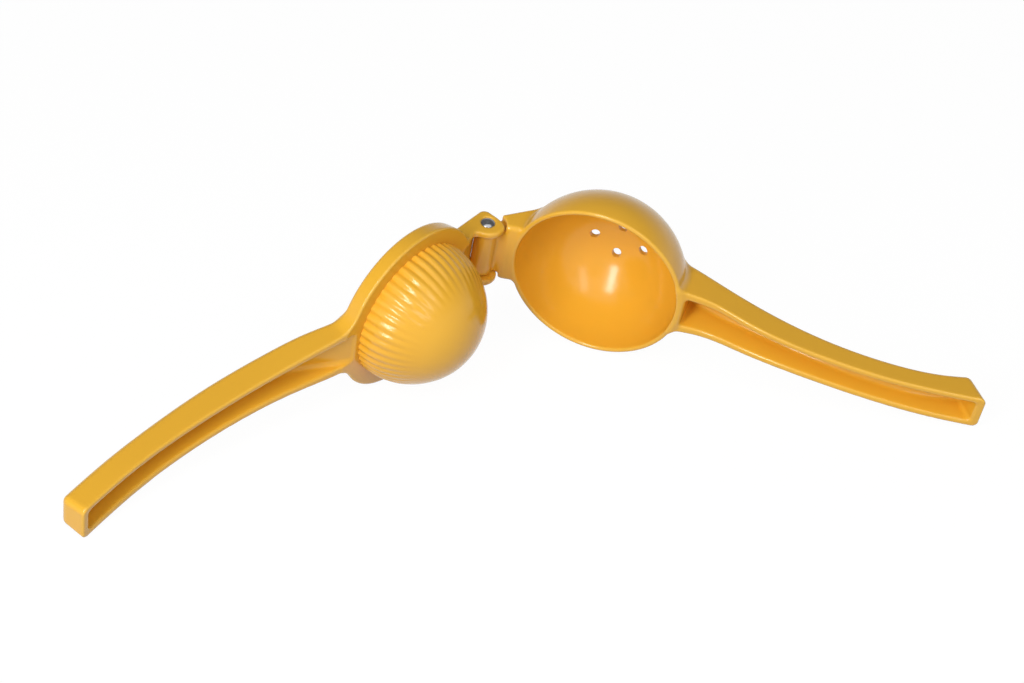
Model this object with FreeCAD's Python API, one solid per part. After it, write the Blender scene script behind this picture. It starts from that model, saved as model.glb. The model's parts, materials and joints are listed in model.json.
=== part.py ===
import FreeCAD, Part
import math
import os

# Hinged lemon squeezer lying open on a table: a cup arm, a press arm and the pin that joins them.
# Each arm is modelled closed, about the hinge axis: X runs along the handle, Y from the press to
# the cup, Z along the pin. The press arm is then opened about Z, and the whole is laid on the table.

# Hinge, in millimetres
PIN_RADIUS = 2.95
PIN_RUNNING_CLEARANCE = 0.05
PIN_CROWN = 0.8
PIN_RECESS = 0.1
HINGE_HALF_HEIGHT = 14.8
EAR_THICKNESS = 3.0
EAR_SIDE_CLEARANCE = 0.3
EAR_RADIUS = 7.2
EAR_TIP = 5.1
EAR_BACK = 6.4
EAR_TIP_ROUND = 3.0
EAR_CORNER_BLEND = 2.0
EAR_EDGE_ROUND = 0.9
KNUCKLE_RADIUS = 4.6
KNUCKLE_BLEND = 1.2
THROAT_CLEARANCE = 0.3
LUG_RELIEF_CLEARANCE = 0.5
THROAT_REACH = 16.5
THROAT_CORNER = 4.5
THROAT_BACK_WALL = 3.0
THROAT_WALL_END = 1.0
OPEN_ANGLE = 109.5

# Cup, a thin bowl with a rounded lip
HINGE_TO_RIM = 11.0
CUP_RADIUS = 36.5
CUP_CENTRE_X = HINGE_TO_RIM + CUP_RADIUS
FAR_RIM_X = CUP_CENTRE_X + CUP_RADIUS
CUP_WALL = 2.0
CUP_STRAIGHT_DEPTH = 2.8
CUP_MOUTH_Y = 2.65
LIP_ROUND = 0.9
JUICE_HOLE_RADIUS = 1.95
JUICE_HOLE_SPACING = 12.4
JUICE_HOLES_AROUND = 6
LUG_FACE_Y = 1.2
LUG_SLOPE_START = EAR_RADIUS + EAR_CORNER_BLEND
LUG_SLOPE_END = HINGE_TO_RIM + 5.5
LUG_BACK_NEAR = (3.6, 7.0)
LUG_BACK_FAR = (20.5, 22.8)

# Press, a ribbed dome on a flange that meets the cup's rim
MOUTH_GAP = 0.7
PEEL_GAP = 5.3
FLANGE_RADIUS = CUP_RADIUS
FLANGE_DEPTH = 7.0
FLANGE_TAPER = 1.2
FLANGE_FACE_ROUND = 0.8
FLANGE_BACK_ROUND = 1.5
FLANGE_ROOT_ROUND = 6.0
DOME_RADIUS = CUP_RADIUS - CUP_WALL - PEEL_GAP
DOME_LIFT = 2.15
PRESS_WALL = 3.0
RIB_COUNT = 48
RIB_HEIGHT = 0.7
RIB_PITCH_SHARE = 0.9
RIB_REACH = 45.0

# Handles: stations as shares of the handle's length from the far rim, with the half height at the
# open edge, and how far the open edge and the back edge lie behind the hinge axis
HANDLE_LENGTH = 125.0
STATION_SHARES = (-0.064, -0.016, 0.096, 0.208, 0.448, 0.688, 0.848, 1.08)
HALF_HEIGHTS = (12.4, 11.5, 10.0, 8.75, 7.5, 7.45, 7.8, 7.95)
CUP_HANDLE_OPEN_EDGE = (2.2, 3.4, 4.7, 2.6, 0.15, 1.1, 3.7, 10.1)
CUP_HANDLE_BACK_EDGE = (23.3, 22.6, 19.5, 16.6, 12.25, 12.2, 15.7, 29.9)
PRESS_HANDLE_OPEN_EDGE = (-2.3, -2.1, -0.1, 2.4, 6.05, 7.35, 6.65, 3.4)
PRESS_HANDLE_BACK_EDGE = (5.0, 7.0, 11.8, 15.0, 18.7, 19.0, 17.9, 14.7)
CUP_HANDLE_END = ((1.01, 7.9), (0.938, 19.5))
PRESS_HANDLE_END = ((1.051, 4.0), (1.055, 15.1))
HANDLE_WALLS = (4.2, 3.9, 3.2, 2.9, 2.7, 2.7, 2.7, 2.7)
HANDLE_FLOOR = 3.0
HANDLE_END_WALL = 3.2
HANDLE_DRAFT = 5.0
HANDLE_BACK_ROUND = 2.5
HANDLE_OPEN_ROUND = 0.7
CHANNEL_ROUND = 1.2
CUP_WEB = 1.0
PRESS_RAMP_GAP = 2.6
PRESS_RAMP_DEPTHS = (-2.2, -0.6, 6.5)

FAR = 400.0
SEAT_TOLERANCE = 0.02

V = FreeCAD.Vector
ORIGIN = V(0, 0, 0)
Y_AXIS = V(0, 1, 0)
Z_AXIS = V(0, 0, 1)
STATIONS = [FAR_RIM_X + share * HANDLE_LENGTH for share in STATION_SHARES]


def slab(x0, x1, y0, y1, z0, z1):
    return Part.makeBox(x1 - x0, y1 - y0, z1 - z0, V(x0, y0, z0))


def prism(points, half_height):
    """A straight-sided plan outline, raised to the same height above and below the arm's middle."""
    corners = [V(x, y, -half_height) for x, y in points]
    face = Part.Face(Part.makePolygon(corners + corners[:1]))
    return face.extrude(V(0, 0, 2 * half_height))


def post(radius, z0, z1):
    return Part.makeCylinder(radius, z1 - z0, V(0, 0, z0))


def curve(points):
    spline = Part.BSplineCurve()
    spline.interpolate(points)
    return spline.toShape()


def spun(edges):
    """A half section in the XY plane, spun about the cup's axis."""
    face = Part.Face(Part.Wire(edges))
    return face.revolve(V(CUP_CENTRE_X, 0, 0), Y_AXIS, 360)


def line(a, b):
    return Part.LineSegment(a, b).toShape()


def ball_arc(radius, centre_y, start_deg, end_deg):
    """An arc of a ball on the cup's axis, by its angles from the mouth plane towards the apex."""
    def at(angle):
        turn = math.radians(angle)
        return V(CUP_CENTRE_X + radius * math.cos(turn), centre_y + radius * math.sin(turn), 0)
    return Part.Arc(at(start_deg), at((start_deg + end_deg) / 2), at(end_deg)).toShape()


def cup_profile(radius, lip):
    """Half section of the bowl's outside, or of the space in it, from the mouth to the apex."""
    turn_y = CUP_MOUTH_Y + CUP_STRAIGHT_DEPTH
    rim_x = CUP_CENTRE_X + radius
    corner = V(rim_x - lip, CUP_MOUTH_Y, 0)
    side = V(rim_x, CUP_MOUTH_Y + abs(lip), 0)
    bend = math.sqrt(0.5)
    centre = V(rim_x - lip, CUP_MOUTH_Y + abs(lip), 0)
    middle = centre + V(lip * bend, -abs(lip) * bend, 0)
    return [
        line(V(CUP_CENTRE_X, CUP_MOUTH_Y, 0), corner),
        Part.Arc(corner, middle, side).toShape(),
        line(side, V(rim_x, turn_y, 0)),
        ball_arc(radius, turn_y, 0, 90),
        line(V(CUP_CENTRE_X, turn_y + radius, 0), V(CUP_CENTRE_X, CUP_MOUTH_Y, 0)),
    ]


def cup_outside():
    return spun(cup_profile(CUP_RADIUS, LIP_ROUND))


def cup_space():
    """The space that holds the fruit, with the lip's inner rounding at its mouth."""
    space = spun(cup_profile(CUP_RADIUS - CUP_WALL, -LIP_ROUND))
    above = Part.makeCylinder(CUP_RADIUS, FAR, V(CUP_CENTRE_X, CUP_MOUTH_Y, 0), V(0, -1, 0))
    return space.fuse(above)


def juice_holes():
    """One hole at the apex and a ring of holes around it, all along the cup's axis."""
    places = [(0.0, 0.0)]
    for index in range(JUICE_HOLES_AROUND):
        turn = math.radians(360.0 * (index + 0.5) / JUICE_HOLES_AROUND)
        places.append((JUICE_HOLE_SPACING * math.cos(turn), JUICE_HOLE_SPACING * math.sin(turn)))
    start_y = CUP_MOUTH_Y + CUP_STRAIGHT_DEPTH
    return [Part.makeCylinder(JUICE_HOLE_RADIUS, FAR, V(CUP_CENTRE_X + x, start_y, z), Y_AXIS)
            for x, z in places]


def knuckle_half_length():
    return HINGE_HALF_HEIGHT - EAR_THICKNESS - EAR_SIDE_CLEARANCE


def relief_radius():
    return EAR_RADIUS + LUG_RELIEF_CLEARANCE


def lug():
    """The full-height block that carries the knuckle, hollowed where the ears turn."""
    inner_x = CUP_CENTRE_X - CUP_RADIUS / 2
    outline = [
        (KNUCKLE_RADIUS / 2, LUG_FACE_Y),
        (LUG_SLOPE_START, LUG_FACE_Y),
        (LUG_SLOPE_END, CUP_MOUTH_Y),
        (inner_x, CUP_MOUTH_Y),
        (inner_x, LUG_BACK_FAR[1]),
        LUG_BACK_FAR,
        LUG_BACK_NEAR,
    ]
    block = prism(outline, HINGE_HALF_HEIGHT)
    top = knuckle_half_length()
    for z0, z1 in ((top, FAR), (-FAR, -top)):
        block = block.cut(post(relief_radius(), z0, z1))
    return block


def knuckle():
    """The barrel around the pin, its neck to the lug and the hollow rounding in front of the neck."""
    half = knuckle_half_length()
    barrel = post(KNUCKLE_RADIUS, -half, half)
    back_run = (LUG_BACK_FAR[1] - LUG_BACK_NEAR[1]) / (LUG_BACK_FAR[0] - LUG_BACK_NEAR[0])
    neck_end = 2 * KNUCKLE_RADIUS
    neck = prism([
        (0.0, 0.0),
        (KNUCKLE_RADIUS / 2, LUG_FACE_Y),
        (LUG_SLOPE_START, LUG_FACE_Y),
        (neck_end, LUG_BACK_NEAR[1]),
        (neck_end, LUG_BACK_NEAR[1] + back_run * (neck_end - LUG_BACK_NEAR[0])),
        (-KNUCKLE_RADIUS / 4, KNUCKLE_RADIUS * math.sin(math.acos(-0.25))),
    ], half)
    return barrel.fuse(neck).fuse(knuckle_blend(half))


def knuckle_blend(half):
    """Fills the corner between barrel and lug with a hollow round tangent to both."""
    centre_y = LUG_FACE_Y - KNUCKLE_BLEND
    reach = KNUCKLE_RADIUS + KNUCKLE_BLEND
    centre = V(math.sqrt(reach ** 2 - centre_y ** 2), centre_y, -half)
    on_lug = centre + V(0, KNUCKLE_BLEND, 0)
    toward_pin = V(-centre.x, -centre.y, 0).normalize()
    on_barrel = centre + toward_pin * KNUCKLE_BLEND
    between = (V(0, 1, 0) + toward_pin).normalize()
    hollow = Part.Arc(on_barrel, centre + between * KNUCKLE_BLEND, on_lug).toShape()
    inside = V(0, 0, -half)
    over = V(on_lug.x, LUG_BACK_NEAR[1] / 2, -half)
    wire = Part.Wire([hollow, line(on_lug, over), line(over, inside), line(inside, on_barrel)])
    return Part.Face(wire).extrude(V(0, 0, 2 * half))


def side_outline(front, back):
    """The handle seen along the pin: open edge, far end, back edge and root."""
    front_points = [V(x, depth, 0) for x, depth in zip(STATIONS, front)]
    back_points = [V(x, depth, 0) for x, depth in zip(STATIONS, back)]
    return Part.Wire([
        curve(front_points),
        line(front_points[-1], back_points[-1]),
        curve(back_points),
        line(back_points[0], front_points[0]),
    ])


def drafted_plan(front, half_heights, near, far):
    """The handle seen from its open side, narrowing towards the back by the draft angle."""
    slope = math.tan(math.radians(HANDLE_DRAFT))
    wires = []
    for depth in (near, far):
        halves = [half - slope * (depth - edge) for half, edge in zip(half_heights, front)]
        upper = [V(x, depth, half) for x, half in zip(STATIONS, halves)]
        lower = [V(p.x, p.y, -p.z) for p in upper]
        wires.append(Part.Wire([
            curve(upper),
            line(upper[-1], lower[-1]),
            curve(lower),
            line(lower[0], upper[0]),
        ]))
    return Part.makeLoft(wires, True, True)


def end_corners(end):
    """The front and back corners of a handle's end, seen along the pin."""
    return [V(FAR_RIM_X + share * HANDLE_LENGTH, depth, 0) for share, depth in end]


def end_directions(end):
    """The handle's end line as a point, a direction along it and one out of the handle."""
    front, back = end_corners(end)
    along = (back - front).normalize()
    return front, along, V(along.y, -along.x, 0)


def beyond(end, inset):
    """Everything past the handle's end line, moved towards the hinge by the inset."""
    front, along, outward = end_directions(end)
    base = front - outward * inset - along * FAR / 2 - V(0, 0, FAR / 2)
    corners = [base, base + along * FAR, base + along * FAR + outward * FAR, base + outward * FAR]
    face = Part.Face(Part.makePolygon(corners + corners[:1]))
    return face.extrude(V(0, 0, FAR))


def handle_shape(front, plan_front, back, half_heights, end, inset):
    """Where the side outline and the drafted plan agree, up to the end line."""
    side = Part.Face(side_outline(front, back)).extrude(V(0, 0, FAR))
    side.translate(V(0, 0, -FAR / 2))
    plan = drafted_plan(plan_front, half_heights, min(front) - 1, max(back) + 1)
    return side.common(plan).cut(beyond(end, inset)).Solids[0]


def middle_point(edge):
    return edge.valueAt((edge.FirstParameter + edge.LastParameter) / 2)


def flattened(point):
    return Part.Vertex(V(point.x, point.y, 0))


def lies_on(edge, outline):
    """Whether an edge, seen along the pin, follows an outline."""
    spots = [middle_point(edge)] + [vertex.Point for vertex in edge.Vertexes]
    return all(outline.distToShape(flattened(spot))[0] < SEAT_TOLERANCE for spot in spots)


def rounded_handle(front, back, end):
    """The handle's outside with its back, its end and its open edge rounded."""
    block = handle_shape(front, front, back, HALF_HEIGHTS, end, 0)
    open_edge = curve([V(x, depth, 0) for x, depth in zip(STATIONS, front)])
    back_edge = curve([V(x, depth, 0) for x, depth in zip(STATIONS, back)])
    point, along, outward = end_directions(end)
    end_line = line(point - along * FAR / 2, point + along * FAR / 2)
    at_back = [edge for edge in block.Edges if lies_on(edge, back_edge) or lies_on(edge, end_line)]
    at_back = [edge for edge in at_back if not lies_on(edge, open_edge)]
    at_back = [edge for edge in at_back if edge.BoundBox.XMax > STATIONS[0] + SEAT_TOLERANCE]
    block = block.makeFillet(HANDLE_BACK_ROUND, at_back)
    at_front = [edge for edge in block.Edges if lies_on(edge, open_edge)]
    at_front = [edge for edge in at_front if edge.BoundBox.XMax > STATIONS[0] + SEAT_TOLERANCE]
    return block.makeFillet(HANDLE_OPEN_ROUND, at_front)


def channel(plan_front, floor, end, start_x):
    """The trough inside a handle, open at the front, with rounded corners and floor."""
    cleared_front = [depth - HANDLE_FLOOR for depth in plan_front]
    halves = [half - wall for half, wall in zip(HALF_HEIGHTS, HANDLE_WALLS)]
    trough = handle_shape(cleared_front, plan_front, floor, halves, end, HANDLE_END_WALL)
    trough = trough.cut(slab(-FAR, start_x, -FAR, FAR, -FAR, FAR)).Solids[0]
    floor_edge = curve([V(x, depth, 0) for x, depth in zip(STATIONS, floor)])
    point, along, outward = end_directions(end)
    point = point - outward * HANDLE_END_WALL
    end_line = line(point - along * FAR / 2, point + along * FAR / 2)
    start_line = line(V(start_x, -FAR, 0), V(start_x, FAR, 0))
    outlines = (floor_edge, end_line, start_line)
    open_edge = curve([V(x, depth, 0) for x, depth in zip(STATIONS, cleared_front)])
    rounded = [edge for edge in trough.Edges if any(lies_on(edge, outline) for outline in outlines)]
    rounded = [edge for edge in rounded if not lies_on(edge, open_edge)]
    return trough.makeFillet(CHANNEL_ROUND, rounded)


def cup_handle():
    handle = rounded_handle(CUP_HANDLE_OPEN_EDGE, CUP_HANDLE_BACK_EDGE, CUP_HANDLE_END)
    floor = [depth - HANDLE_FLOOR for depth in CUP_HANDLE_BACK_EDGE]
    start_x = FAR_RIM_X + CUP_WEB
    trough = channel(CUP_HANDLE_OPEN_EDGE, floor, CUP_HANDLE_END, start_x)
    above_mouth = slab(-FAR, start_x, -FAR, CUP_MOUTH_Y, -FAR, FAR)
    return handle.cut(trough).cut(above_mouth)


def cup_arm():
    arm = cup_outside().fuse([lug(), cup_handle()])
    arm = arm.cut([cup_space()] + juice_holes())
    arm = arm.fuse(knuckle())
    bore = post(PIN_RADIUS + PIN_RUNNING_CLEARANCE, -FAR, FAR)
    return arm.cut(bore).removeSplitter()


def flange_face_y():
    return CUP_MOUTH_Y - MOUTH_GAP


def dome_centre_y():
    return flange_face_y() + DOME_LIFT


def press_profile():
    """Half section of the flange and dome, solid, from the back plane to the apex."""
    face_y = flange_face_y()
    back_y = face_y - FLANGE_DEPTH
    rim_x = CUP_CENTRE_X + FLANGE_RADIUS
    base_deg = -math.degrees(math.asin(DOME_LIFT / DOME_RADIUS))
    base_x = CUP_CENTRE_X + DOME_RADIUS * math.cos(math.radians(base_deg))
    back_x = rim_x - FLANGE_TAPER
    bend = 1 - math.sqrt(0.5)
    back_inset = FLANGE_BACK_ROUND * bend
    face_inset = FLANGE_FACE_ROUND * bend
    on_back = V(back_x - FLANGE_BACK_ROUND, back_y, 0)
    low_side = V(back_x, back_y + FLANGE_BACK_ROUND, 0)
    high_side = V(rim_x, face_y - FLANGE_FACE_ROUND, 0)
    on_face = V(rim_x - FLANGE_FACE_ROUND, face_y, 0)
    return [
        line(V(CUP_CENTRE_X, back_y, 0), on_back),
        Part.Arc(on_back, V(back_x - back_inset, back_y + back_inset, 0), low_side).toShape(),
        line(low_side, high_side),
        Part.Arc(high_side, V(rim_x - face_inset, face_y - face_inset, 0), on_face).toShape(),
        line(on_face, V(base_x, face_y, 0)),
        ball_arc(DOME_RADIUS, dome_centre_y(), base_deg, 90),
        line(V(CUP_CENTRE_X, dome_centre_y() + DOME_RADIUS, 0), V(CUP_CENTRE_X, back_y, 0)),
    ]


def dome_hollow():
    """The open space behind the dome, which keeps the casting's wall even."""
    radius = DOME_RADIUS - PRESS_WALL
    centre = V(CUP_CENTRE_X, dome_centre_y(), 0)
    back = Part.makeCylinder(radius, FAR, centre, V(0, -1, 0))
    return Part.makeSphere(radius, centre).fuse(back)


def dome_rib():
    """One rounded rib along a meridian, proud at the flange and sinking into the dome."""
    face_y = flange_face_y()
    width = RIB_PITCH_SHARE * 2 * math.pi * DOME_RADIUS / RIB_COUNT
    thread = ((width / 2) ** 2 + RIB_HEIGHT ** 2) / (2 * RIB_HEIGHT)
    base_deg = -math.degrees(math.asin((DOME_LIFT + RIB_HEIGHT) / DOME_RADIUS))

    def crest(share):
        angle = math.radians(base_deg + share * (RIB_REACH - base_deg))
        reach = DOME_RADIUS + RIB_HEIGHT * (1 - share ** 2) - thread
        return V(CUP_CENTRE_X + reach * math.cos(angle), dome_centre_y() + reach * math.sin(angle), 0)
    start, end = crest(0.0), crest(1.0)
    centre = Part.Arc(start, crest(0.5), end).toShape().Curve.Center
    spoke = (start - centre).normalize()
    section = Part.Face(Part.Wire(Part.Circle(start, Z_AXIS.cross(spoke), thread).toShape()))
    turn = math.degrees((start - centre).getAngle(end - centre))
    rod = section.revolve(centre, Z_AXIS, turn)
    core = Part.makeSphere(DOME_RADIUS - RIB_HEIGHT / 2, V(CUP_CENTRE_X, dome_centre_y(), 0))
    below_face = slab(-FAR, FAR, -FAR, face_y - RIB_HEIGHT, -FAR, FAR)
    return rod.cut([core, below_face])


def dome_ribs():
    rib = dome_rib()
    ribs = []
    for index in range(RIB_COUNT):
        copy = rib.copy()
        copy.rotate(V(CUP_CENTRE_X, 0, 0), Y_AXIS, 360.0 * index / RIB_COUNT)
        ribs.append(copy)
    return ribs


def ear_outline():
    """The fork's plan: a round end about the pin on the dome side and a squarer tip."""
    face_y = LUG_FACE_Y - MOUTH_GAP
    tip_centre = V(EAR_TIP_ROUND - EAR_TIP, 0, 0)
    tip_centre.y = math.sqrt((EAR_RADIUS - EAR_TIP_ROUND) ** 2 - tip_centre.x ** 2)
    end_on_tip = tip_centre + V(-EAR_TIP_ROUND, 0, 0)
    tip_spoke = V(tip_centre).normalize()
    end_on_round = tip_spoke * EAR_RADIUS
    tip_middle = tip_centre + (tip_spoke + V(-1, 0, 0)).normalize() * EAR_TIP_ROUND
    back_centre = V(EAR_TIP_ROUND - EAR_TIP, EAR_TIP_ROUND - EAR_BACK, 0)
    bend = EAR_TIP_ROUND * math.sqrt(0.5)
    throat_y = face_y + EAR_CORNER_BLEND
    blend_centre = V(math.sqrt((EAR_RADIUS + EAR_CORNER_BLEND) ** 2 - throat_y ** 2), throat_y, 0)
    blend_spoke = V(blend_centre).normalize()
    on_round = blend_spoke * EAR_RADIUS
    on_face = blend_centre - V(0, EAR_CORNER_BLEND, 0)
    blend_middle = blend_centre - (blend_spoke + V(0, 1, 0)).normalize() * EAR_CORNER_BLEND
    round_middle = (tip_spoke + blend_spoke).normalize() * EAR_RADIUS
    root_x = CUP_CENTRE_X - DOME_RADIUS
    return Part.Wire([
        Part.Arc(on_face, blend_middle, on_round).toShape(),
        Part.Arc(on_round, round_middle, end_on_round).toShape(),
        Part.Arc(end_on_round, tip_middle, end_on_tip).toShape(),
        line(end_on_tip, back_centre + V(-EAR_TIP_ROUND, 0, 0)),
        Part.Arc(back_centre + V(-EAR_TIP_ROUND, 0, 0), back_centre + V(-bend, -bend, 0),
                 back_centre + V(0, -EAR_TIP_ROUND, 0)).toShape(),
        line(back_centre + V(0, -EAR_TIP_ROUND, 0), V(root_x, -EAR_BACK, 0)),
        line(V(root_x, -EAR_BACK, 0), V(root_x, flange_face_y(), 0)),
        line(V(root_x, flange_face_y(), 0), V(LUG_SLOPE_END, flange_face_y(), 0)),
        line(V(LUG_SLOPE_END, flange_face_y(), 0), V(LUG_SLOPE_START, face_y, 0)),
        line(V(LUG_SLOPE_START, face_y, 0), on_face),
    ])


def fork():
    """The block that carries both ears, with its outer edges rounded."""
    block = Part.Face(ear_outline()).extrude(V(0, 0, 2 * HINGE_HALF_HEIGHT))
    block.translate(V(0, 0, -HINGE_HALF_HEIGHT))
    root_x = CUP_CENTRE_X - DOME_RADIUS
    rims = [edge for edge in block.Edges
            if edge.BoundBox.ZLength < SEAT_TOLERANCE and edge.BoundBox.XMin < root_x - SEAT_TOLERANCE]
    return block.makeFillet(EAR_EDGE_ROUND, rims)


def fork_throat():
    """The space between the ears, where the knuckle turns, and the pocket in front of its back wall."""
    half = HINGE_HALF_HEIGHT - EAR_THICKNESS
    swept = slab(-FAR, THROAT_WALL_END, -FAR, FAR, -half, half)
    turning = post(KNUCKLE_RADIUS + THROAT_CLEARANCE, -half, half)
    pocket = slab(0, THROAT_REACH, THROAT_BACK_WALL - EAR_BACK, FAR, -half, half)
    corners = [edge for edge in pocket.Edges
               if edge.BoundBox.XMin > THROAT_REACH - SEAT_TOLERANCE
               and edge.BoundBox.YLength > 1 and edge.BoundBox.ZLength < SEAT_TOLERANCE]
    return swept.fuse([turning, pocket.makeFillet(THROAT_CORNER, corners)])


def press_floor():
    """Depths of the press handle's floor: a ramp up to the flange, then an even floor."""
    ramp = list(PRESS_RAMP_DEPTHS)
    return ramp + [depth - HANDLE_FLOOR for depth in PRESS_HANDLE_BACK_EDGE[len(ramp):]]


def press_handle():
    """Modelled behind the mouth like the cup's handle, then turned over to the press side."""
    handle = rounded_handle(PRESS_HANDLE_OPEN_EDGE, PRESS_HANDLE_BACK_EDGE, PRESS_HANDLE_END)
    above_face = slab(-FAR, FAR, -FAR, -flange_face_y(), -FAR, FAR)
    return handle.cut(above_face).mirror(ORIGIN, Y_AXIS)


def root_webs():
    """Fills the corners between the flange and the sides of the press handle with hollow rounds."""
    hub = V(CUP_CENTRE_X, 0, 0)
    near = V(STATIONS[1], 0, HALF_HEIGHTS[1])
    run = (V(STATIONS[2], 0, HALF_HEIGHTS[2]) - near).normalize()
    outward = V(-run.z, 0, run.x)
    base = near + outward * FLANGE_ROOT_ROUND - hub
    reach = FLANGE_RADIUS + FLANGE_ROOT_ROUND
    along = math.sqrt(base.dot(run) ** 2 - base.dot(base) + reach ** 2) - base.dot(run)
    centre = hub + base + run * along
    on_handle = centre - outward * FLANGE_ROOT_ROUND
    to_hub = (hub - centre).normalize()
    on_flange = centre + to_hub * FLANGE_ROOT_ROUND
    middle = centre + (to_hub - outward).normalize() * FLANGE_ROOT_ROUND
    wire = Part.Wire([
        Part.Arc(on_flange, middle, on_handle).toShape(),
        line(on_handle, V(on_handle.x, 0, 0)),
        line(V(on_handle.x, 0, 0), V(on_flange.x, 0, 0)),
        line(V(on_flange.x, 0, 0), on_flange),
    ])
    depth = FLANGE_DEPTH - FLANGE_FACE_ROUND - FLANGE_BACK_ROUND
    web = Part.Face(wire).extrude(V(0, -depth, 0))
    web.translate(V(0, flange_face_y() - FLANGE_FACE_ROUND, 0))
    return [web, web.mirror(ORIGIN, Z_AXIS)]


def press_channel():
    start_x = CUP_CENTRE_X + DOME_RADIUS + PRESS_RAMP_GAP
    trough = channel(PRESS_HANDLE_OPEN_EDGE, press_floor(), PRESS_HANDLE_END, start_x)
    return trough.mirror(ORIGIN, Y_AXIS)


def press_arm():
    plate = spun(press_profile())
    arm = plate.fuse([fork(), press_handle()] + root_webs())
    arm = arm.cut([press_channel(), fork_throat()])
    arm = arm.fuse(dome_ribs())
    arm = arm.cut([dome_hollow(), post(PIN_RADIUS, -FAR, FAR)])
    return arm.removeSplitter()


def hinge_pin():
    """A plain pin, pressed in the ears, with low crowned ends that stand proud of them."""
    half = HINGE_HALF_HEIGHT - PIN_RECESS
    crown_radius = (PIN_RADIUS ** 2 + PIN_CROWN ** 2) / (2 * PIN_CROWN)
    shank = post(PIN_RADIUS, -half, half)
    upper = Part.makeSphere(crown_radius, V(0, 0, half + PIN_CROWN - crown_radius))
    lower = Part.makeSphere(crown_radius, V(0, 0, crown_radius - half - PIN_CROWN))
    crowned = upper.common(lower).common(post(PIN_RADIUS, -FAR, FAR))
    return crowned.fuse(shank).removeSplitter()


def resting_tilt():
    """The angle at which the cup's rim and its handle's end both touch the table."""
    half_open = math.radians(OPEN_ANGLE / 2)
    corner = end_corners(CUP_HANDLE_END)[0]
    end_reach = corner.x * math.cos(half_open) - corner.y * math.sin(half_open)
    cup_reach = CUP_CENTRE_X * math.cos(half_open) - CUP_MOUTH_Y * math.sin(half_open)

    def end_above_rim(tilt):
        rim_share = math.sqrt(1 - (math.sin(half_open) * math.sin(tilt)) ** 2)
        end_level = -math.sin(tilt) * end_reach - math.cos(tilt) * HALF_HEIGHTS[-1]
        rim_level = -math.sin(tilt) * cup_reach - CUP_RADIUS * rim_share
        return end_level - rim_level
    low, high = 0.0, math.radians(45)
    for _ in range(60):
        middle = (low + high) / 2
        if end_above_rim(middle) > 0:
            low = middle
        else:
            high = middle
    return low


def table_placement(tilt):
    """Turns the closed frame so that the open squeezer rests with its handles to the front."""
    half_open = math.radians(OPEN_ANGLE / 2)
    forward = V(math.cos(half_open), -math.sin(half_open), 0)
    up = Z_AXIS * math.cos(tilt) - forward * math.sin(tilt)
    back = (forward * math.cos(tilt) + Z_AXIS * math.sin(tilt)) * -1
    right = back.cross(up)
    rows = FreeCAD.Matrix(right.x, right.y, right.z, 0, back.x, back.y, back.z, 0,
                          up.x, up.y, up.z, 0, 0, 0, 0, 1)
    return FreeCAD.Placement(rows)


def main():
    opened = press_arm()
    opened.rotate(ORIGIN, Z_AXIS, -OPEN_ANGLE)
    pieces = {"cup_arm": cup_arm(), "press_arm": opened, "hinge_pin": hinge_pin()}
    placement = table_placement(resting_tilt())
    for shape in pieces.values():
        shape.Placement = placement.multiply(shape.Placement)
    box = Part.Compound(list(pieces.values())).optimalBoundingBox(False, False)
    shift = V(-box.Center.x, -box.Center.y, -box.ZMin)
    os.makedirs("parts", exist_ok=True)
    for name, shape in pieces.items():
        shape.translate(shift)
        shape.exportStep("parts/" + name + ".step")
        print(name, "solids", len(shape.Solids), "volume", round(shape.Volume))
        print(name, "valid", shape.isValid())
    hinge = placement.multVec(ORIGIN) + shift
    axis = placement.Rotation.multVec(Z_AXIS)
    print("hinge at", tuple(hinge), "along", tuple(axis), "tilt", math.degrees(resting_tilt()))


main()
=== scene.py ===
import json
import logging
import math
from dataclasses import dataclass
from enum import Enum
from typing import Callable, Sequence

import bpy
import numpy as np
from mathutils import Matrix, Vector


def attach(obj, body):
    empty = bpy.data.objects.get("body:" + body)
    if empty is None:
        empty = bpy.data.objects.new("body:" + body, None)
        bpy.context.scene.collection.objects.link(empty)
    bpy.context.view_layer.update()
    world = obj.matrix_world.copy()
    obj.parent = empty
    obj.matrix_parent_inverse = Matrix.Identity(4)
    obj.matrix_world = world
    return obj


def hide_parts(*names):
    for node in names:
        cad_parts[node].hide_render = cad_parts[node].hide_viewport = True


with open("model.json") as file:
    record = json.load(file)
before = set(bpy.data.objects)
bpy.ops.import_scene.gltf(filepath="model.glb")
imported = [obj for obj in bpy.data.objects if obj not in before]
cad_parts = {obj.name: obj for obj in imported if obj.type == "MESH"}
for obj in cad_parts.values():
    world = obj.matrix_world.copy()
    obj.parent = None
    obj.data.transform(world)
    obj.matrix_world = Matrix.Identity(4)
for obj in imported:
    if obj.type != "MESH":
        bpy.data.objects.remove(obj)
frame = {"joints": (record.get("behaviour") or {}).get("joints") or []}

LOG = logging.getLogger("squeezer")
MM = 0.001
Array = np.ndarray

# How far apart, in millimetres, a field is read to find its slope at the surface
SLOPE_REACH = 0.03


class Body(Enum):
    """The rigid bodies that the pieces ride on."""

    CUP = "cup_body"
    PRESS = "press_body"


class Slot(Enum):
    """The record's material slots."""

    ENAMEL = "enamel"
    STEEL = "pin_steel"


# Rounded joins of distance fields, in millimetres

def round_cut(first: Array, second: Array, radius: float) -> Array:
    """The space inside both shapes, with the edge where they cross rounded.

    Args:
        first: distance to one shape, negative inside.
        second: distance to the other shape.
        radius: the rounding's radius.

    Returns:
        The distance to what both share.
    """
    a = np.maximum(first + radius, 0.0)
    b = np.maximum(second + radius, 0.0)
    return np.minimum(np.maximum(first, second), -radius) + np.hypot(a, b)


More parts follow.
